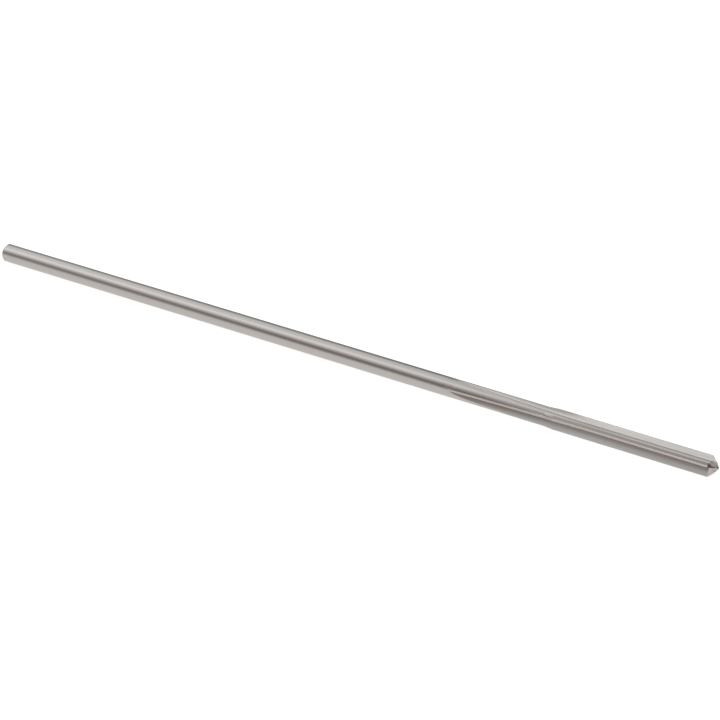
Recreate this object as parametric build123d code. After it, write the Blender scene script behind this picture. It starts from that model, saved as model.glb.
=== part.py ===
from build123d import *
import math
import os

# Straight-shank, straight-flute chucking reamer, ground from one bar of high-speed steel.
# It is drawn upright, with the shank's butt at z = 0 and the cutting point at the top,
# and then laid down as it comes to rest, with the point towards +X.
# Lengths are in millimetres and angles in degrees.

# Turned and ground blank
overall_length = 76.2
shank_diameter = 1.829
cutting_diameter = 1.984
shank_end_chamfer = 0.2
head_length = 15.25
neck_ramp_length = 0.9

# Cutting end: a 45 degree lead on each land, and the male centre it was ground on
lead_angle = 45.0
lead_relief_angle = 10.0
centre_diameter = 1.0
centre_point_angle = 113.0

# Flutes, each ground by a V wheel with one flank on the cutting face
flute_count = 4
full_flute_length = 11.5
flute_root_height = 0.47
flute_floor_fall_angle = 5.0
flute_root_radius = 0.05
wheel_radius = 205.0
wheel_lean_angle = 26.5

# End gashes: each flute deepens towards the point, down a 45 degree slope
gash_length = 0.79
gash_floor_height = 0.19

# Lands: a round margin behind each cutting edge, then a flat relief
margin_width = 0.17
land_relief_angle = 10.0

# Rest: the nearest cutting edge stands this far round from straight down
edge_angle_at_rest = 26.1

# Sizes that follow from the ones above
shank_radius = shank_diameter / 2
cutting_radius = cutting_diameter / 2
centre_radius = centre_diameter / 2
centre_height = centre_radius / math.tan(math.radians(centre_point_angle / 2))
lead_height = (cutting_radius - centre_radius) / math.tan(math.radians(lead_angle))
head_start = overall_length - head_length
ramp_start = head_start - neck_ramp_length
lead_base = overall_length - centre_height
lead_start = lead_base - lead_height
full_flute_start = overall_length - full_flute_length
tool_reach = cutting_diameter
floor_distance = flute_root_height * math.cos(math.radians(flute_floor_fall_angle))
root_offset = flute_root_height * math.sin(math.radians(flute_floor_fall_angle))
gash_slope_drop = gash_length - floor_distance
land_step = 360.0 / flute_count


def make_blank():
    """The turned bar: butt chamfer, shank, ramp, head, lead cone and male centre."""
    profile = Polyline(
        (0, 0),
        (shank_radius - shank_end_chamfer, 0),
        (shank_radius, shank_end_chamfer),
        (shank_radius, ramp_start),
        (cutting_radius, head_start),
        (cutting_radius, lead_start),
        (centre_radius, lead_base),
        (0, overall_length),
        close=True,
    )
    half_section = make_face(Plane.XZ * profile)
    return revolve(half_section, Axis.Z)


def land_frame(land_angle, height):
    """A frame across the axis: x runs out along one cutting edge, y back into its land."""
    outward = Vector(1, 0, 0).rotate(Axis.Z, land_angle)
    return Plane(origin=(0, 0, height), x_dir=outward, z_dir=(0, 0, -1))


def flute_section():
    """The V that the wheel leaves: a radial cutting face, and a floor that falls away from it."""
    floor_fall = tool_reach * math.tan(math.radians(flute_floor_fall_angle))
    outline = Polyline(
        (0, 0),
        (tool_reach, 0),
        (tool_reach, -tool_reach),
        (-floor_fall, -tool_reach),
        close=True,
    )
    section = make_face(outline)
    root = section.vertices().sort_by_distance((0, 0))[0]
    rounded = fillet(root, flute_root_radius)
    return Pos(flute_root_height, 0) * rounded


def make_flute(land_angle):
    """One flute: straight along the head, then rising out of the neck along the wheel's rim."""
    frame = land_frame(land_angle, full_flute_start)
    section = frame * flute_section()
    straight = extrude(section, full_flute_length + tool_reach, dir=(0, 0, 1))

    lean = math.radians(wheel_lean_angle)
    wheel_x = flute_root_height + wheel_radius * math.cos(lean)
    wheel_y = -wheel_radius * math.sin(lean)
    wheel_centre = frame.from_local_coords(Vector(wheel_x, wheel_y, 0))
    wheel_direction = frame.from_local_coords(Vector(wheel_x + math.sin(lean), wheel_y + math.cos(lean), 0))
    wheel_axis = Axis(wheel_centre, wheel_direction - wheel_centre)
    run_out_angle = math.degrees(math.acos(1 - tool_reach / wheel_radius))
    run_out = revolve(section, wheel_axis, run_out_angle)
    return straight + run_out


def make_land_relief(land_angle):
    """The stock that the flat relief takes off one land, from the end of its margin to its heel."""
    margin_end_angle = math.degrees(margin_width / cutting_radius)
    relief_frame = land_frame(land_angle - margin_end_angle, ramp_start)
    margin_end = Pos(cutting_radius, 0) * Rot(0, 0, land_relief_angle)
    stock = margin_end * Rectangle(tool_reach, tool_reach, align=(Align.MIN, Align.MIN))
    return extrude(relief_frame * stock, head_length + neck_ramp_length, dir=(0, 0, 1))


def make_lead_relief(land_angle):
    """The stock above one flat lead facet, which falls away behind its slanting cutting edge."""
    outer_frame = land_frame(land_angle, lead_start)
    inner_frame = land_frame(land_angle, lead_base)
    edge_corner = outer_frame.from_local_coords(Vector(cutting_radius, 0, 0))
    edge_inner_end = inner_frame.from_local_coords(Vector(centre_radius, 0, 0))
    along_edge = (edge_inner_end - edge_corner).normalized()
    facet = Plane(origin=edge_corner, x_dir=along_edge, z_dir=along_edge.cross(outer_frame.y_dir))
    facet = facet.rotated((-lead_relief_angle, 0, 0))
    stock = Box(tool_reach, tool_reach, tool_reach, align=(Align.CENTER, Align.MIN, Align.MIN))
    return facet * stock


def make_end_gash(land_angle):
    """The stock that the gash takes off the core at a flute's open end, ahead of its cutting face."""
    floor_frame = land_frame(land_angle + flute_floor_fall_angle, overall_length)
    root = floor_frame.from_local_coords(Vector(0, root_offset, 0))
    side = Plane(origin=root, x_dir=floor_frame.x_dir, z_dir=floor_frame.y_dir)
    profile = Polyline(
        (gash_floor_height, 0),
        (tool_reach, 0),
        (tool_reach, -gash_slope_drop - tool_reach),
        (gash_floor_height, -gash_slope_drop - gash_floor_height),
        close=True,
    )
    return extrude(make_face(side * profile), tool_reach, dir=-side.z_dir)


def make_reamer():
    """The whole reamer, upright."""
    reamer = make_blank()
    for number in range(flute_count):
        land_angle = number * land_step - edge_angle_at_rest
        reamer -= make_land_relief(land_angle)
        reamer -= make_lead_relief(land_angle)
        reamer -= make_flute(land_angle)
        reamer -= make_end_gash(land_angle)
    return reamer


# Laid down: the shank lies on the floor, and the head hangs clear of it with a flute below
lying = Pos(-overall_length / 2, 0, shank_radius) * Rot(0, 90, 0)
reamer = lying * make_reamer()

os.makedirs("parts", exist_ok=True)
export_step(reamer, "parts/reamer.step")
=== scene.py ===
import math

import bmesh
import bpy
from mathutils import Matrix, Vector


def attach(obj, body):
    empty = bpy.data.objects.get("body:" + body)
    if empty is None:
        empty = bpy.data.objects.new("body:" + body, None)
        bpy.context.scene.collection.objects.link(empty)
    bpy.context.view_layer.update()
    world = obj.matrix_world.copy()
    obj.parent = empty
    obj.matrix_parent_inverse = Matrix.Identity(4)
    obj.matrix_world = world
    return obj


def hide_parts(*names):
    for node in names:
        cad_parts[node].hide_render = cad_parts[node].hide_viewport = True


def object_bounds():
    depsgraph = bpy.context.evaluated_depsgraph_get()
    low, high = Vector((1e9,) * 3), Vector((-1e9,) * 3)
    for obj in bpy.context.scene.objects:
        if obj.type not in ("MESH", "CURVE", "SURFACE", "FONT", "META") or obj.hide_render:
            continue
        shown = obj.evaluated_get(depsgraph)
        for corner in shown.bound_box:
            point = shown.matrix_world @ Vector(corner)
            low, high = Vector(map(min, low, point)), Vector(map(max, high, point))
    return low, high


# A straight-flute chucking reamer, ground all over from one bar of high-speed steel, lying on its shank.
# Lengths are in millimetres until the finished mesh is scaled to metres, unless a comment says metres.
# A place along the tool is given by how far back it is from the cutting point. Across the axis,
# x runs out along a cutting edge and y runs back into the land behind that edge.
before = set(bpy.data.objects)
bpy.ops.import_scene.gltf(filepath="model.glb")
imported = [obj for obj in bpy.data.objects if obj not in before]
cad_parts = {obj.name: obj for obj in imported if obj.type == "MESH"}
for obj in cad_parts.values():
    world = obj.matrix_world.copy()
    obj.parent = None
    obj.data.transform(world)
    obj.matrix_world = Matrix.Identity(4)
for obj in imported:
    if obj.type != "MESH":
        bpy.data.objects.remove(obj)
cad_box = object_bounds()
METRES_PER_MM = 0.001

# Turned and ground blank
OVERALL_LENGTH = 76.2
SHANK_RADIUS = 0.9145
CUTTING_RADIUS = 0.992
BUTT_CHAMFER = 0.2
HEAD_LENGTH = 15.25
NECK_RAMP_LENGTH = 0.9

# Cutting end: a 45 degree lead on each land, relieved behind its edge, and the male centre inside it
CENTRE_RADIUS = 0.5
CENTRE_HALF_ANGLE = math.radians(56.5)
LEAD_RELIEF = math.radians(10.0)

# Flutes: a V with a rounded root, straight along the head and then rising out of it along the wheel's rim
FLUTE_COUNT = 4
FULL_FLUTE_LENGTH = 11.5
FLUTE_ROOT_HEIGHT = 0.47
FLUTE_ROOT_RADIUS = 0.05
FLOOR_FALL = math.radians(5.0)
WHEEL_RADIUS = 205.0
WHEEL_LEAN = math.radians(26.5)

# As a flute runs out, its root's rounding takes at most this share of what is left of it
LARGEST_ROOT_SHARE = 0.45

# A flute's floor of width w is hollow by FLOOR_HOLLOW * w * w / 4 in its middle
FLOOR_HOLLOW = 0.04

# In the run-out the cutting face hooks forward. The hook comes and goes over HOOK_RISE
HOOK_START = 12.0
HOOK_END = 28.0
HOOK_RISE = 3.5
HOOK_ANGLE = math.radians(8.0)

# Lands: a round margin behind each cutting edge, then a flat relief
MARGIN_WIDTH = 0.17
LAND_RELIEF = math.radians(10.0)

# End gashes: each flute deepens towards the point, down a 45 degree slope
GASH_LENGTH = 0.79
GASH_FLOOR_HEIGHT = 0.19

# Rest: the nearest cutting edge stands this far round from straight down
EDGE_ANGLE_AT_REST = math.radians(26.1)

# Sizes that follow from the ones above
LAND_STEP = math.tau / FLUTE_COUNT
FLOOR_DISTANCE = FLUTE_ROOT_HEIGHT * math.cos(FLOOR_FALL)
ROOT_OFFSET = FLUTE_ROOT_HEIGHT * math.sin(FLOOR_FALL)
CENTRE_HEIGHT = CENTRE_RADIUS / math.tan(CENTRE_HALF_ANGLE)
LEAD_START = CENTRE_HEIGHT + CUTTING_RADIUS - CENTRE_RADIUS
RAMP_END = HEAD_LENGTH + NECK_RAMP_LENGTH
SHANK_END = OVERALL_LENGTH - BUTT_CHAMFER
MARGIN_ANGLE = MARGIN_WIDTH / CUTTING_RADIUS
LAND_FLAT_DISTANCE = CUTTING_RADIUS * math.cos(LAND_RELIEF)
LEAD_FACET_FALL = math.sqrt(2) * math.tan(LEAD_RELIEF)
LEAD_FACET_INNER_END = CENTRE_RADIUS / 2

# Where the root of a flute comes out through the shank: how far the wheel has risen, and how far back that is
ROOT_ALONG_LEAN = FLUTE_ROOT_HEIGHT * math.cos(WHEEL_LEAN)
ROOT_ACROSS_LEAN = FLUTE_ROOT_HEIGHT * math.sin(WHEEL_LEAN)
VANISHING_RISE = math.sqrt(SHANK_RADIUS ** 2 - ROOT_ACROSS_LEAN ** 2) - ROOT_ALONG_LEAN
VANISHING_BACK = FULL_FLUTE_LENGTH + math.sqrt(VANISHING_RISE * (2 * WHEEL_RADIUS - VANISHING_RISE))

# How finely each part of the outline is divided, from a cutting edge round to the next one
FACE_STEPS = 8
ROOT_STEPS = 6
FLOOR_STEPS = 12
RELIEF_STEPS = 8
MARGIN_STEPS = 6
FLUTE_COLUMNS = FACE_STEPS + ROOT_STEPS + FLOOR_STEPS

# How the tip is divided: rings round the axis out to the core, then rings out to the rim, then a short wall.
# The lines from the core out to the rim start a little behind each cutting face
CORE_RADIUS = 0.22
CORE_TURN = math.radians(20.0)
CORE_RINGS = 6
RIM_RINGS = 20
WALL_STEPS = 4
WALL_PAST_LEAD = 0.12
WALL_END = LEAD_START + WALL_PAST_LEAD
TIP_ROWS = CORE_RINGS + RIM_RINGS

# How the rest is divided: steps along the flutes and along the shank, and rings on the butt.
# Behind the flutes the points spread out evenly round the shank over SPREAD_LENGTH
FLUTED_STEP = 0.3
SHANK_STEP = 1.5
SPREAD_LENGTH = 4.0
BUTT_RINGS = 6

# A place this close to a cutting edge counts as on it, and points this close together are one point.
# The heel of a land is found by halving the range that it is in, this many times
ON_THE_EDGE = 1e-9
WELD_DISTANCE = 0.0004
HEEL_HALVINGS = 40

# Edges that turn by more than this stay crisp
SHARP_TURN = math.radians(9.0)

# How the steel is ground on each face
GROUND_ROUND = 0
GROUND_LENGTHWISE = 1
GROUND_MARGIN = 2
GROUND_END = 3

# Painted shade at the root of each flute, darker and warmer, for the land above it: full this far out from
# the root, and gone this much further. The painted shade fades out again where the steel faces up, by the
# height of its normal
ROOT_SHADE_REACH = 0.1
ROOT_SHADE_FADE = 0.5
FACING_UP_FROM = 0.5
FACING_UP_OVER = 0.3
PAINTED_ROOT_SHADE_COLOUR = "#c8bcb7"
WHITE = "#ffffff"

# Grinding marks: how deep they are, how wide for their length, and how uneven
MARK_DEPTH = 0.02
MARK_WIDTH_SHARE = 0.04
MARK_DETAIL = 3.0
MARK_UNEVENNESS = 0.6

# Studio light that the steel mirrors, round half a turn: from the horizon in front, at 0 degrees, over the
# reamer to the horizon behind, at 180 degrees. Each entry is the angle, the level and how much redder it is.
# One list is for the butt's part of the studio, and the other for the point's part
HALF_TURN = 180.0
BUTT_PART_LEVELS = (
    (0, 0.52, 0.07), (7, 0.38, 0.09), (14, 0.27, 0.11), (25, 0.17, 0.12), (37, 0.29, 0.11),
    (50, 0.505, 0.09), (63, 0.75, 0.06), (73, 0.95, 0.03), (81, 0.98, 0.02), (92, 0.86, 0.01),
    (106, 0.76, 0.0), (126, 0.74, 0.0), (139, 0.61, 0.0), (149, 0.41, 0.0), (160, 0.28, 0.0),
    (171, 0.23, 0.0), (180, 0.23, 0.0),
)
POINT_PART_LEVELS = (
    (0, 0.38, 0.03), (6, 0.41, 0.02), (11, 0.64, 0.0), (17, 0.84, 0.01), (28, 0.93, 0.02),
    (45, 0.95, 0.02), (51, 0.42, 0.05), (60, 0.42, 0.03), (70, 0.70, 0.02), (79, 0.97, 0.0),
    (88, 0.90, 0.0), (104, 0.77, 0.0), (126, 0.74, 0.0), (139, 0.61, 0.0), (149, 0.41, 0.0),
    (160, 0.28, 0.0), (171, 0.23, 0.0), (180, 0.23, 0.0),
)

# How the studio changes along the tool, by a direction's X, which grows towards the cutting point's end.
# The point's part takes over from the butt's part here, along a line that leans with Z
POINT_PART = {"From Min": -0.346, "From Max": -0.336}
POINT_PART_LEAN = -0.08

# The butt's part is darker beside that line and has a little more light far behind the butt
BUTT_PART_DIP = {"From Min": -0.352, "From Max": -0.335, "To Min": 1.0, "To Max": 0.79}
BUTT_END_GLIMMER = {"From Min": -0.36, "From Max": -0.56, "To Min": 0.0, "To Max": 0.08}

# The point's part fades towards the point, and is dark ahead of it, except high up, which goes by Z
POINT_PART_FADE = {"From Min": -0.30, "From Max": -0.20, "To Min": 1.13, "To Max": 0.87}
DARK_AHEAD = {"From Min": 0.35, "From Max": 0.7, "To Min": 1.0, "To Max": 0.27}
HIGH_UP = {"From Min": 0.35, "From Max": 0.5}

# Floor, in metres: its half width, and how bright the steel mirrors it, by its Y: painted shade further in
# front, and a painted shadow of the reamer behind it
FLOOR_HALF_WIDTH = 0.8
FLOOR_PAINTED_SHADE_IN_FRONT = {"From Min": -0.002, "From Max": -0.010, "To Min": 1.0, "To Max": 0.87}
FLOOR_PAINTED_SHADOW_BEHIND = {"From Min": 0.0002, "From Max": 0.0012, "To Min": 1.0, "To Max": 0.5}
PAPER_COLOUR = "#f3f3f3"
MIRRORED_PAPER_COLOUR = "#e5e1df"
PAPER_GLOW = 0.70

# Camera: it looks down from the right of the axis and from beyond the cutting point.
# The picture is FRAME_WIDTH pixels wide, and the axis passes AXIS_ABOVE_MIDDLE pixels above its middle
FRAME_WIDTH = 720
FOCAL_PIXELS = 1912.0
AXIS_ABOVE_MIDDLE = 0.35
SENSOR_WIDTH = 36.0
CAMERA_AZIMUTH = math.radians(28.55)
CAMERA_ELEVATION = math.radians(33.99)
CAMERA_DISTANCE = 178.5
CAMERA_AIM_BACK = 35.2
CAMERA_NEAR_LIMIT = 5.0


def lerp(start, end, share):
    """The value that far of the way from start to end."""
    return start + (end - start) * share


def smooth_step(share):
    """0 to 1 with level ends."""
    share = min(max(share, 0.0), 1.0)
    return share * share * (3 - 2 * share)


def polar(radius, angle):
    """A point across the axis, at a radius and an angle behind the cutting edge."""
    return radius * math.cos(angle), radius * math.sin(angle)


def blank_radius(back):
    """Radius of the turned bar that far back from the point, from the lead to the butt."""
    if back < HEAD_LENGTH:
        return CUTTING_RADIUS
    if back < RAMP_END:
        return lerp(CUTTING_RADIUS, SHANK_RADIUS, (back - HEAD_LENGTH) / NECK_RAMP_LENGTH)
    return SHANK_RADIUS - max(back - SHANK_END, 0.0)


def land_radius(back, behind):
    """Radius of the bar or of the land's flat relief, at an angle behind the nominal cutting edge.

    The flat relief leaves the bar at the end of the margin, and meets it again after twice its angle.
    """
    bar = blank_radius(back)
    past_margin = behind - MARGIN_ANGLE
    if past_margin < 0 or past_margin > 2 * LAND_RELIEF:
        return bar
    return min(bar, LAND_FLAT_DISTANCE / math.cos(LAND_RELIEF - past_margin))


def flute_corner(back):
    """Where the flute's floor and cutting face would meet if the root weren't rounded."""
    run = max(back - FULL_FLUTE_LENGTH, 0.0)
    rise = min(WHEEL_RADIUS - math.sqrt(WHEEL_RADIUS ** 2 - run ** 2), VANISHING_RISE)
    return FLUTE_ROOT_HEIGHT + rise * math.cos(WHEEL_LEAN), -rise * math.sin(WHEEL_LEAN)


def heel_angle(back, corner_x, corner_y):
    """Angle behind the next land's edge at which the flute's floor cuts that land off."""
    low, high = 0.0, LAND_STEP
    for _ in range(HEEL_HALVINGS):
        middle = (low + high) / 2
        land_x, land_y = polar(land_radius(back, middle), middle - LAND_STEP)
        floor_x = corner_x - math.tan(FLOOR_FALL) * (corner_y - land_y)
        if land_x < floor_x:
            low = middle
        else:
            high = middle
    return (low + high) / 2


def face_hook(back):
    """Slope of the cutting face at its edge, where it hooks forward."""
    rise = smooth_step((back - HOOK_START) / HOOK_RISE)
    fall = smooth_step((HOOK_END - back) / HOOK_RISE)
    return math.tan(HOOK_ANGLE) * rise * fall


def sector_outline(back):
    """One flute and the land on its far side, from a cutting edge round to the next one."""
    corner_x, corner_y = flute_corner(back)
    bar = blank_radius(back)
    depth = math.sqrt(bar ** 2 - corner_y ** 2) - corner_x
    edge_y = corner_y - face_hook(back) * depth / 2
    edge_x = math.sqrt(bar ** 2 - edge_y ** 2)
    edge_angle = math.atan2(edge_y, edge_x)
    heel = heel_angle(back, corner_x, corner_y)
    heel_x, heel_y = polar(land_radius(back, heel), heel - LAND_STEP)

    # The centre of the rounded root is as far from the cutting face as it is from the floor
    room = min(edge_x - corner_x, corner_y - heel_y)
    rounding = max(min(FLUTE_ROOT_RADIUS, LARGEST_ROOT_SHARE * room), 0.0)
    rounding_x = corner_x + rounding * (1 - math.sin(FLOOR_FALL)) / math.cos(FLOOR_FALL)
    rounding_y = corner_y - rounding

    # The cutting face, from its edge down to the root. Its hook is a parabola that is level at the root
    outline = []
    for step in range(FACE_STEPS):
        share = step / FACE_STEPS
        outline.append((lerp(edge_x, rounding_x, share), corner_y + (edge_y - corner_y) * (1 - share) ** 2))

    # The rounded root, and the slightly hollow floor out to the heel of the next land
    for step in range(ROOT_STEPS + 1):
        turn = lerp(math.pi / 2, math.pi - FLOOR_FALL, step / ROOT_STEPS)
        outline.append((rounding_x + rounding * math.cos(turn), rounding_y + rounding * math.sin(turn)))
    floor_x, floor_y = outline[-1]
    for step in range(1, FLOOR_STEPS):
        share = step / FLOOR_STEPS
        hollow = FLOOR_HOLLOW * (floor_y - heel_y) ** 2 * share * (1 - share)
        outline.append((lerp(floor_x, heel_x, share) - hollow, lerp(floor_y, heel_y, share)))

    # The land: its relief, and its margin, which keeps its width where the edge swings round in the run-out
    margin_end = MARGIN_ANGLE + edge_angle * smooth_step((back - RAMP_END) / NECK_RAMP_LENGTH)
    for step in range(RELIEF_STEPS):
        behind = lerp(heel, margin_end, step / RELIEF_STEPS)
        outline.append(polar(land_radius(back, behind), behind - LAND_STEP))
    for step in range(MARGIN_STEPS + 1):
        behind = lerp(margin_end, edge_angle, step / MARGIN_STEPS)
        radius = bar if step else land_radius(back, behind)
        outline.append(polar(radius, behind - LAND_STEP))
    return outline


def shank_outline(back, last_fluted):
    """Round outline past the flutes: the last fluted outline's points spread out evenly along the shank."""
    last = len(last_fluted) - 1
    spread = smooth_step((back - VANISHING_BACK) / SPREAD_LENGTH)
    start_angle = math.atan2(last_fluted[0][1], last_fluted[0][0])
    outline = []
    for index, (x, y) in enumerate(last_fluted):
        cut_angle = math.atan2(y, x)
        if index == last:
            cut_angle = start_angle - LAND_STEP
        even_angle = start_angle - LAND_STEP * index / last
        outline.append(polar(blank_radius(back), lerp(cut_angle, even_angle, spread)))
    return outline


def as_each_land_sees(x, y):
    """A place across the axis for each land in turn: out along its edge, and back into it."""
    for number in range(FLUTE_COUNT):
        turn = number * LAND_STEP
        yield x * math.cos(turn) + y * math.sin(turn), y * math.cos(turn) - x * math.sin(turn)


def lead_back(x, y):
    """How far back the lead facets and the centre are at a place across the axis."""
    radius = math.hypot(x, y)
    if radius < CENTRE_RADIUS:
        back = radius / math.tan(CENTRE_HALF_ANGLE)
    else:
        back = CENTRE_HEIGHT + radius - CENTRE_RADIUS
    for out, behind in as_each_land_sees(x, y):
        if behind > -ON_THE_EDGE and out > LEAD_FACET_INNER_END:
            back = max(back, LEAD_START - CUTTING_RADIUS + out + LEAD_FACET_FALL * behind)
    return back


def gash_back(x, y):
    """How far back the end gash goes at a place across the axis, or 0 where no gash takes that place in."""
    back = 0.0
    for out, behind in as_each_land_sees(x, y):
        height = out * math.cos(FLOOR_FALL) - behind * math.sin(FLOOR_FALL)
        sideways = behind * math.cos(FLOOR_FALL) + out * math.sin(FLOOR_FALL)
        if sideways < ROOT_OFFSET and height > GASH_FLOOR_HEIGHT:
            back = max(back, GASH_LENGTH - FLOOR_DISTANCE + height)
    return back


def tip_back(x, y):
    """How far back the ground end is at a place across the axis."""
    return max(lead_back(x, y), gash_back(x, y))


def stations():
    """How far back the outlines are worked out: those with flutes, and those of the plain shank."""
    fluted = [WALL_END]
    while fluted[-1] + FLUTED_STEP < VANISHING_BACK:
        fluted.append(fluted[-1] + FLUTED_STEP)
    fluted += [HEAD_LENGTH, RAMP_END, FULL_FLUTE_LENGTH, VANISHING_BACK]
    plain = []
    here = VANISHING_BACK + FLUTED_STEP
    while here < SHANK_END - FLUTED_STEP:
        plain.append(here)
        here += FLUTED_STEP if here < VANISHING_BACK + SPREAD_LENGTH else SHANK_STEP
    return sorted(fluted), [*plain, SHANK_END, OVERALL_LENGTH]


def sector_rows(fluted, plain):
    """Rows of points (back, x, y), from the apex over the tip and along the tool to the butt's middle."""
    rim = sector_outline(WALL_END)
    last = len(rim) - 1
    core = [polar(CORE_RADIUS, CORE_TURN - LAND_STEP * index / last) for index in range(last + 1)]
    rows = []
    for ring in range(CORE_RINGS):
        share = ring / CORE_RINGS
        rows.append([(tip_back(x * share, y * share), x * share, y * share) for x, y in core])
    for ring in range(RIM_RINGS):
        share = ring / RIM_RINGS
        row = []
        for (core_x, core_y), (rim_x, rim_y) in zip(core, rim):
            x = lerp(core_x, rim_x, share)
            y = lerp(core_y, rim_y, share)
            row.append((tip_back(x, y), x, y))
        rows.append(row)
    for step in range(WALL_STEPS):
        share = step / WALL_STEPS
        rows.append([(lerp(tip_back(x, y), WALL_END, share), x, y) for x, y in rim])
    for back in fluted:
        rows.append([(back, x, y) for x, y in sector_outline(back)])
    last_fluted = sector_outline(fluted[-1])
    for back in plain:
        rows.append([(back, x, y) for x, y in shank_outline(back, last_fluted)])
    butt_rim = rows[-1]
    for ring in range(BUTT_RINGS):
        share = 1 - (ring + 1) / BUTT_RINGS
        rows.append([(back, x * share, y * share) for back, x, y in butt_rim])
    return rows


def painted_root_shade(points, column):
    """How much painted shade a point of a fluted row gets, for the land above it: 1 at the root, 0 well out
    on the floor.
    """
    _, _, root_y = points[FACE_STEPS + ROOT_STEPS]
    _, _, y = points[column]
    return 1 - smooth_step((root_y - y - ROOT_SHADE_REACH) / ROOT_SHADE_FADE)


def tip_finish(corners):
    """How the steel is ground on a face of the tip: in an end gash, or round on the lead and the centre."""
    x = sum(x for _, x, _ in corners) / len(corners)
    y = sum(y for _, _, y in corners) / len(corners)
    return GROUND_END if gash_back(x, y) > lead_back(x, y) else GROUND_ROUND


def head_finish(column):
    """How the steel is ground on a face of the head or the run-out."""
    if column < FLUTE_COLUMNS:
        return GROUND_LENGTHWISE
    if column < FLUTE_COLUMNS + RELIEF_STEPS:
        return GROUND_ROUND
    return GROUND_MARGIN


def make_sector_mesh():
    """The mesh of one flute with its land, lying along x with its cutting point at 0."""
    fluted, plain = stations()
    rows = sector_rows(fluted, plain)
    width = len(rows[0])
    points = [(-back, -y, -x) for row in rows for back, x, y in row]
    fluted_end = TIP_ROWS + WALL_STEPS + len(fluted)
    faces = []
    finishes = []
    for row in range(len(rows) - 1):
        for column in range(width - 1):
            start = row * width + column
            faces.append((start, start + 1, start + width + 1, start + width))
            if row < TIP_ROWS:
                finishes.append(tip_finish(rows[row][column:column + 2] + rows[row + 1][column:column + 2]))
            elif row < fluted_end:
                finishes.append(head_finish(column))
            else:
                finishes.append(GROUND_ROUND)
    mesh = bpy.data.meshes.new("flute_sector")
    mesh.from_pydata(points, [], faces)
    mesh.update()
    mesh.attributes.new("finish", "INT", "FACE").data.foreach_set("value", finishes)
    # Painted shade at the root of each flute, kept on its points for the steel's colour
    painted_shade_of = mesh.attributes.new("painted_root_shade", "FLOAT", "POINT").data
    for row in range(TIP_ROWS, fluted_end):
        for column in range(FACE_STEPS + 1, FLUTE_COLUMNS + 1):
            painted_shade_of[row * width + column].value = painted_root_shade(rows[row], column)
    return mesh


def live(sockets, name):
    """The socket of that name that the node's settings leave in use."""
    return next(socket for socket in sockets if socket.name == name and socket.enabled)


def add_node(tree, kind, inputs=None, **settings):
    """A node with its settings, and its inputs linked from sockets or set to values."""
    node = tree.nodes.new(kind)
    for name, value in settings.items():
        setattr(node, name, value)
    for name, value in (inputs or {}).items():
        socket = node.inputs[name] if isinstance(name, int) else live(node.inputs, name)
        if isinstance(value, bpy.types.NodeSocket):
            tree.links.new(value, socket)
        else:
            socket.default_value = value
    return node


def linear(hex_colour):
    """An sRGB hex value as a linear colour, by the curve that the sRGB standard gives."""
    channels = [int(hex_colour[place:place + 2], 16) / 255 for place in (1, 3, 5)]
    levels = [c / 12.92 if c <= 0.04045 else ((c + 0.055) / 1.055) ** 2.4 for c in channels]
    return (*levels, 1.0)


def empty_tree(owner):
    """The node tree of a new material or world, with nothing in it."""
    owner.use_nodes = True
    owner.node_tree.nodes.clear()
    return owner.node_tree


def grinding_marks(tree, lengthwise, spacing, strength):
    """Fine parallel marks of the wheel, round the axis or along it: as a pattern, and as a bump."""
    place = add_node(tree, "ShaderNodeTexCoord").outputs["Object"]
    along, across = (MARK_WIDTH_SHARE, 1.0) if lengthwise else (1.0, MARK_WIDTH_SHARE)
    per_metre = 1 / (spacing * METRES_PER_MM)
    scaled = add_node(tree, "ShaderNodeMapping", {
        "Vector": place,
        "Scale": (per_metre * along, per_metre * across, per_metre * across),
    })
    marks = add_node(tree, "ShaderNodeTexNoise", {
        "Vector": scaled.outputs["Vector"],
        "Scale": 1.0,
        "Detail": MARK_DETAIL,
        "Roughness": MARK_UNEVENNESS,
    })
    bump = add_node(tree, "ShaderNodeBump", {
        "Height": marks.outputs["Fac"], "Strength": strength, "Distance": MARK_DEPTH * METRES_PER_MM,
    })
    return marks.outputs["Fac"], bump.outputs["Normal"]


def ground_steel(name, dark, light, lengthwise, spacing, strength, roughness):
    """Bright high-speed steel as a grinding wheel leaves it, with painted shade, darker and warmer, at the
    flutes' roots.
    """
    material = bpy.data.materials.new(name)
    tree = empty_tree(material)
    marks, normal = grinding_marks(tree, lengthwise, spacing, strength)
    colour = add_node(tree, "ShaderNodeMix", {
        "Factor": marks, "A": linear(dark), "B": linear(light),
    }, data_type="RGBA")
    # Painted shade: the steel's colour is darkened and warmed at each flute's root
    shade = add_node(tree, "ShaderNodeAttribute", attribute_name="painted_root_shade")
    painted_shade_tint = add_node(tree, "ShaderNodeMix", {
        "Factor": shade.outputs["Fac"], "A": linear(WHITE), "B": linear(PAINTED_ROOT_SHADE_COLOUR),
    }, data_type="RGBA")
    with_painted_shade = add_node(tree, "ShaderNodeVectorMath", {
        0: live(colour.outputs, "Result"), 1: live(painted_shade_tint.outputs, "Result"),
    }, operation="MULTIPLY")
    shader = add_node(tree, "ShaderNodeBsdfPrincipled", {
        "Base Color": with_painted_shade.outputs["Vector"],
        "Metallic": 1.0,
        "Roughness": roughness,
        "Normal": normal,
    })
    add_node(tree, "ShaderNodeOutputMaterial", {"Surface": shader.outputs["BSDF"]})
    return material


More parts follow.
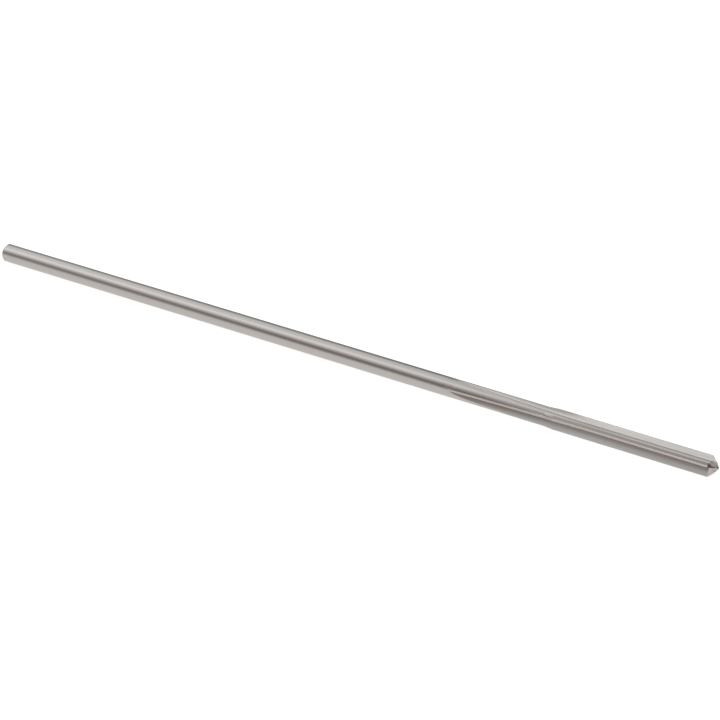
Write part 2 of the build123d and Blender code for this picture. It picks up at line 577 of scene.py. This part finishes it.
def ground_steels():
    """The steel of the one bar for each way in which it is ground.

    Real grinding marks are a few hundredths of a millimetre apart, too fine to show here, so all of
    these are drawn coarser, a tenth of a millimetre apart.
    """
    return {
        # High-speed steel, centreless ground, on the shank, the reliefs, the lead and the centre: a clean
        # neutral grey that mirrors the studio in soft bands, with hardly any marks
        GROUND_ROUND: ground_steel(
            "ground_round_steel", "#c9c6c2", "#d3d1ce",
            lengthwise=False, spacing=0.12, strength=0.04, roughness=0.1,
        ),
        # High-speed steel, form ground by a wheel that ran along the flute: the brightest of them, with long
        # streaks that catch the light along the tool. Its colour, paler than the round steel's, is painted
        # light that brightens the flutes
        GROUND_LENGTHWISE: ground_steel(
            "ground_lengthwise_steel_with_painted_light", "#d0cecb", "#f2f0ed",
            lengthwise=True, spacing=0.1, strength=0.1, roughness=0.13,
        ),
        # High-speed steel, ground and then stoned on the narrow margin: satin, and pale, so that the margin
        # shows as a soft light line beside each cutting edge. The satin is its finish; its paleness beyond
        # the round steel's colour is painted light
        GROUND_MARGIN: ground_steel(
            "ground_margin_steel_with_painted_light", "#e6e0da", "#ece6e1",
            lengthwise=False, spacing=0.1, strength=0.15, roughness=0.42,
        ),
        # High-speed steel, gashed at the end with the corner of a wheel: slightly warm, and a little less
        # clear than the round steel
        GROUND_END: ground_steel(
            "ground_end_steel", "#cbc2bb", "#d5cdc7",
            lengthwise=False, spacing=0.1, strength=0.08, roughness=0.14,
        ),
    }


def new_tree_input(tree, name, kind):
    """A named input on the tree's own interface. What comes back is its identifier."""
    return tree.interface.new_socket(name, in_out="INPUT", socket_type=kind).identifier


def make_fluting_tree(steels):
    """Repeats the sector round the axis, closes it into one skin, lays it down in metres and dresses it."""
    tree = bpy.data.node_groups.new("flutes_round_the_axis", "GeometryNodeTree")
    tree.is_modifier = True
    new_tree_input(tree, "One flute", "NodeSocketGeometry")
    ids = {
        "Flutes": new_tree_input(tree, "Flutes", "NodeSocketInt"),
        "Roll": new_tree_input(tree, "Roll", "NodeSocketFloat"),
        "Point": new_tree_input(tree, "Point", "NodeSocketVector"),
        "Size": new_tree_input(tree, "Size", "NodeSocketFloat"),
    }
    tree.interface.new_socket("Reamer", in_out="OUTPUT", socket_type="NodeSocketGeometry")
    given = add_node(tree, "NodeGroupInput").outputs

    # One sector for each flute, each turned on from the one before
    step = add_node(tree, "ShaderNodeMath", {0: math.tau, 1: given["Flutes"]}, operation="DIVIDE")
    index = add_node(tree, "GeometryNodeInputIndex")
    turn = add_node(tree, "ShaderNodeMath", {
        0: index.outputs["Index"], 1: step.outputs[0], 2: given["Roll"],
    }, operation="MULTIPLY_ADD")
    turn_vector = add_node(tree, "ShaderNodeCombineXYZ", {"X": turn.outputs[0]})
    places = add_node(tree, "GeometryNodePoints", {"Count": given["Flutes"]})
    sectors = add_node(tree, "GeometryNodeInstanceOnPoints", {
        "Points": places.outputs[0], "Instance": given["One flute"], "Rotation": turn_vector.outputs[0],
    })
    real = add_node(tree, "GeometryNodeRealizeInstances", {"Geometry": sectors.outputs[0]})
    joined = add_node(tree, "GeometryNodeMergeByDistance", {
        "Geometry": real.outputs[0], "Distance": WELD_DISTANCE,
    })

    # In metres, with its cutting point where the frame has it
    size = add_node(tree, "ShaderNodeCombineXYZ", {
        "X": given["Size"], "Y": given["Size"], "Z": given["Size"],
    })
    laid = add_node(tree, "GeometryNodeTransform", {
        "Geometry": joined.outputs[0], "Translation": given["Point"], "Scale": size.outputs[0],
    })

    # Each face gets the steel that its finish names
    finish = add_node(tree, "GeometryNodeInputNamedAttribute", {"Name": "finish"}, data_type="INT")
    dressed = laid.outputs[0]
    for number, steel in steels.items():
        chosen = add_node(tree, "FunctionNodeCompare", {
            "A": live(finish.outputs, "Attribute"), "B": number,
        }, data_type="INT", operation="EQUAL")
        dressed = add_node(tree, "GeometryNodeSetMaterial", {
            "Geometry": dressed, "Selection": chosen.outputs[0], "Material": steel,
        }).outputs[0]
    add_node(tree, "NodeGroupOutput", {"Reamer": dressed})
    return tree, ids


def turn_faces_outward(mesh):
    """Makes every face of the closed skin point outwards."""
    skin = bmesh.new()
    skin.from_mesh(mesh)
    bmesh.ops.recalc_face_normals(skin, faces=skin.faces)
    skin.to_mesh(mesh)
    skin.free()


def make_reamer():
    """The whole reamer as one plain mesh, lying where the CAD node lies."""
    tree, ids = make_fluting_tree(ground_steels())
    sector = bpy.data.objects.new("flute_sector", make_sector_mesh())
    bpy.context.scene.collection.objects.link(sector)
    fluting = sector.modifiers.new("fluting", "NODES")
    fluting.node_group = tree
    fluting[ids["Flutes"]] = FLUTE_COUNT
    fluting[ids["Roll"]] = -EDGE_ANGLE_AT_REST
    fluting[ids["Point"]] = (cad_box[1].x, 0.0, SHANK_RADIUS * METRES_PER_MM)
    fluting[ids["Size"]] = METRES_PER_MM
    graph = bpy.context.evaluated_depsgraph_get()
    mesh = bpy.data.meshes.new_from_object(sector.evaluated_get(graph))
    bpy.data.objects.remove(sector)
    mesh.name = "ground_reamer"
    turn_faces_outward(mesh)
    # The painted shade at the roots fades out where the steel faces up
    painted_shade_of = mesh.attributes["painted_root_shade"].data
    for vertex in mesh.vertices:
        painted_shade_of[vertex.index].value *= 1 - smooth_step((vertex.normal.z - FACING_UP_FROM) / FACING_UP_OVER)
    mesh.shade_smooth()
    mesh.set_sharp_from_angle(angle=SHARP_TURN)
    reamer = bpy.data.objects.new("ground_reamer", mesh)
    bpy.context.scene.collection.objects.link(reamer)
    return reamer


def light_levels(tree, half_turn, levels):
    """The studio's light in one of its parts, by how far over the reamer a direction has turned."""
    ramp = add_node(tree, "ShaderNodeValToRGB", {"Fac": half_turn})
    points = ramp.color_ramp.elements
    for degrees, _, _ in levels[1:-1]:
        points.new(degrees / HALF_TURN)
    for point, (_, level, warmth) in zip(points, levels):
        point.color = (level * (1 + warmth), level, level, 1.0)
    return ramp.outputs["Color"]


def light_the_studio():
    """A world that is white to the camera, and that the steel mirrors as a studio with soft light overhead.

    The butt's part of the studio is dim low in front and bright overhead. The point's part is bright low in
    front too, and it is dark straight ahead of the point. That is what gives the shank and the head their
    bands of light and shade, and the end its dark facets.
    """
    world = bpy.data.worlds.new("studio")
    tree = empty_tree(world)
    direction = add_node(tree, "ShaderNodeTexCoord").outputs["Generated"]
    towards = add_node(tree, "ShaderNodeSeparateXYZ", {"Vector": direction}).outputs
    forward = add_node(tree, "ShaderNodeMath", {0: towards["Y"], 1: -1.0}, operation="MULTIPLY")
    turn = add_node(tree, "ShaderNodeMath", {0: towards["Z"], 1: forward.outputs[0]}, operation="ARCTAN2")
    half_turn = add_node(tree, "ShaderNodeMath", {0: turn.outputs[0], 1: math.pi}, operation="DIVIDE")
    butt_part = light_levels(tree, half_turn.outputs[0], BUTT_PART_LEVELS)
    point_part = light_levels(tree, half_turn.outputs[0], POINT_PART_LEVELS)

    # The two parts of the studio, with a little more light far behind the butt
    leaning = add_node(tree, "ShaderNodeMath", {
        0: towards["Z"], 1: POINT_PART_LEAN, 2: towards["X"],
    }, operation="MULTIPLY_ADD")
    in_point_part = add_node(tree, "ShaderNodeMapRange", {
        "Value": leaning.outputs[0], **POINT_PART,
    }, interpolation_type="SMOOTHSTEP").outputs["Result"]
    both_parts = add_node(tree, "ShaderNodeMix", {
        "Factor": in_point_part, "A": butt_part, "B": point_part,
    }, data_type="RGBA")
    glimmer = add_node(tree, "ShaderNodeMapRange", {"Value": towards["X"], **BUTT_END_GLIMMER})
    light = add_node(tree, "ShaderNodeVectorMath", {
        0: live(both_parts.outputs, "Result"), 1: glimmer.outputs["Result"],
    }, operation="ADD")

    # How each part grows darker towards the point's end
    dip = add_node(tree, "ShaderNodeMapRange", {"Value": towards["X"], **BUTT_PART_DIP})
    fade = add_node(tree, "ShaderNodeMapRange", {"Value": towards["X"], **POINT_PART_FADE})
    dark_ahead = add_node(tree, "ShaderNodeMapRange", {"Value": towards["X"], **DARK_AHEAD})
    high_up = add_node(tree, "ShaderNodeMapRange", {"Value": towards["Z"], **HIGH_UP})
    ahead = add_node(tree, "ShaderNodeMix", {
        "Factor": high_up.outputs["Result"], "A": dark_ahead.outputs["Result"], "B": 1.0,
    }, data_type="FLOAT")
    point_part_level = add_node(tree, "ShaderNodeMath", {
        0: fade.outputs["Result"], 1: live(ahead.outputs, "Result"),
    }, operation="MULTIPLY")
    level = add_node(tree, "ShaderNodeMix", {
        "Factor": in_point_part, "A": dip.outputs["Result"], "B": point_part_level.outputs[0],
    }, data_type="FLOAT")
    mirrored = add_node(tree, "ShaderNodeVectorMath", {
        0: light.outputs["Vector"], 1: live(level.outputs, "Result"),
    }, operation="MULTIPLY")

    studio = add_node(tree, "ShaderNodeBackground", {"Color": mirrored.outputs["Vector"], "Strength": 1.0})
    white = add_node(tree, "ShaderNodeBackground", {"Color": linear(WHITE), "Strength": 1.0})
    to_camera = add_node(tree, "ShaderNodeLightPath").outputs["Is Camera Ray"]
    seen = add_node(tree, "ShaderNodeMixShader", {0: to_camera, 1: studio.outputs[0], 2: white.outputs[0]})
    add_node(tree, "ShaderNodeOutputWorld", {"Surface": seen.outputs[0]})
    bpy.context.scene.world = world


def sweep_paper():
    """Matt white background paper, uncoated, so that it is plain and even with no shine.

    It glows a little to the camera, and comes out white with only a faint shadow under the reamer.
    The steel mirrors it slightly warm, with painted shade a little darker further in front, and a painted
    shadow of the reamer, darker still, close behind it.
    """
    material = bpy.data.materials.new("white_sweep")
    tree = empty_tree(material)
    path = add_node(tree, "ShaderNodeLightPath").outputs
    paper = add_node(tree, "ShaderNodeBsdfDiffuse", {"Color": linear(PAPER_COLOUR)})
    glow = add_node(tree, "ShaderNodeMath", {0: path["Is Camera Ray"], 1: PAPER_GLOW}, operation="MULTIPLY")
    lit = add_node(tree, "ShaderNodeEmission", {"Color": linear(WHITE), "Strength": glow.outputs[0]})
    lit_paper = add_node(tree, "ShaderNodeAddShader", {0: paper.outputs[0], 1: lit.outputs[0]})
    place = add_node(tree, "ShaderNodeTexCoord").outputs["Object"]
    place_y = add_node(tree, "ShaderNodeSeparateXYZ", {"Vector": place}).outputs["Y"]
    # Painted shade on the mirrored floor, a little darker further in front
    painted_shade_in_front = add_node(tree, "ShaderNodeMapRange", {
        "Value": place_y, **FLOOR_PAINTED_SHADE_IN_FRONT,
    }, interpolation_type="SMOOTHSTEP")
    # Painted shadow of the reamer on the mirrored floor behind it
    behind = add_node(tree, "ShaderNodeMapRange", {
        "Value": place_y, **FLOOR_PAINTED_SHADOW_BEHIND,
    }, interpolation_type="SMOOTHSTEP")
    level = add_node(tree, "ShaderNodeMath", {
        0: painted_shade_in_front.outputs["Result"], 1: behind.outputs["Result"],
    }, operation="MULTIPLY")
    mirrored = add_node(tree, "ShaderNodeEmission", {
        "Color": linear(MIRRORED_PAPER_COLOUR), "Strength": level.outputs[0],
    })
    seen = add_node(tree, "ShaderNodeMixShader", {
        0: path["Is Glossy Ray"], 1: lit_paper.outputs[0], 2: mirrored.outputs[0],
    })
    add_node(tree, "ShaderNodeOutputMaterial", {"Surface": seen.outputs[0]})
    return material


def lay_floor():
    """The flat sweep of paper that the reamer lies on."""
    half = FLOOR_HALF_WIDTH
    corners = [(-half, -half, 0), (half, -half, 0), (half, half, 0), (-half, half, 0)]
    mesh = bpy.data.meshes.new("floor")
    mesh.from_pydata(corners, [], [(0, 1, 2, 3)])
    mesh.materials.append(sweep_paper())
    floor = bpy.data.objects.new("floor", mesh)
    bpy.context.scene.collection.objects.link(floor)


def place_camera():
    """Looks down on the reamer at the photograph's viewing angle."""
    distance = CAMERA_DISTANCE * METRES_PER_MM
    back = Vector((
        math.sin(CAMERA_AZIMUTH) * math.cos(CAMERA_ELEVATION),
        -math.cos(CAMERA_AZIMUTH) * math.cos(CAMERA_ELEVATION),
        math.sin(CAMERA_ELEVATION),
    ))
    turn = back.to_track_quat("Z", "Y")
    camera_up = turn @ Vector((0, 1, 0))
    aim_x = cad_box[1].x - CAMERA_AIM_BACK * METRES_PER_MM
    aim = Vector((aim_x, 0.0, SHANK_RADIUS * METRES_PER_MM))
    data = bpy.data.cameras.new("camera")
    data.sensor_width = SENSOR_WIDTH
    data.lens = FOCAL_PIXELS / FRAME_WIDTH * data.sensor_width
    data.clip_start = CAMERA_NEAR_LIMIT * METRES_PER_MM
    camera = bpy.data.objects.new("camera", data)
    camera.location = aim + back * distance - camera_up * distance * AXIS_ABOVE_MIDDLE / FOCAL_PIXELS
    camera.rotation_mode = "QUATERNION"
    camera.rotation_quaternion = turn
    bpy.context.scene.collection.objects.link(camera)
    bpy.context.scene.camera = camera


reamer = make_reamer()
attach(reamer, "root")
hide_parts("reamer")
light_the_studio()
lay_floor()
place_camera()
bpy.context.scene.view_settings.view_transform = "Standard"
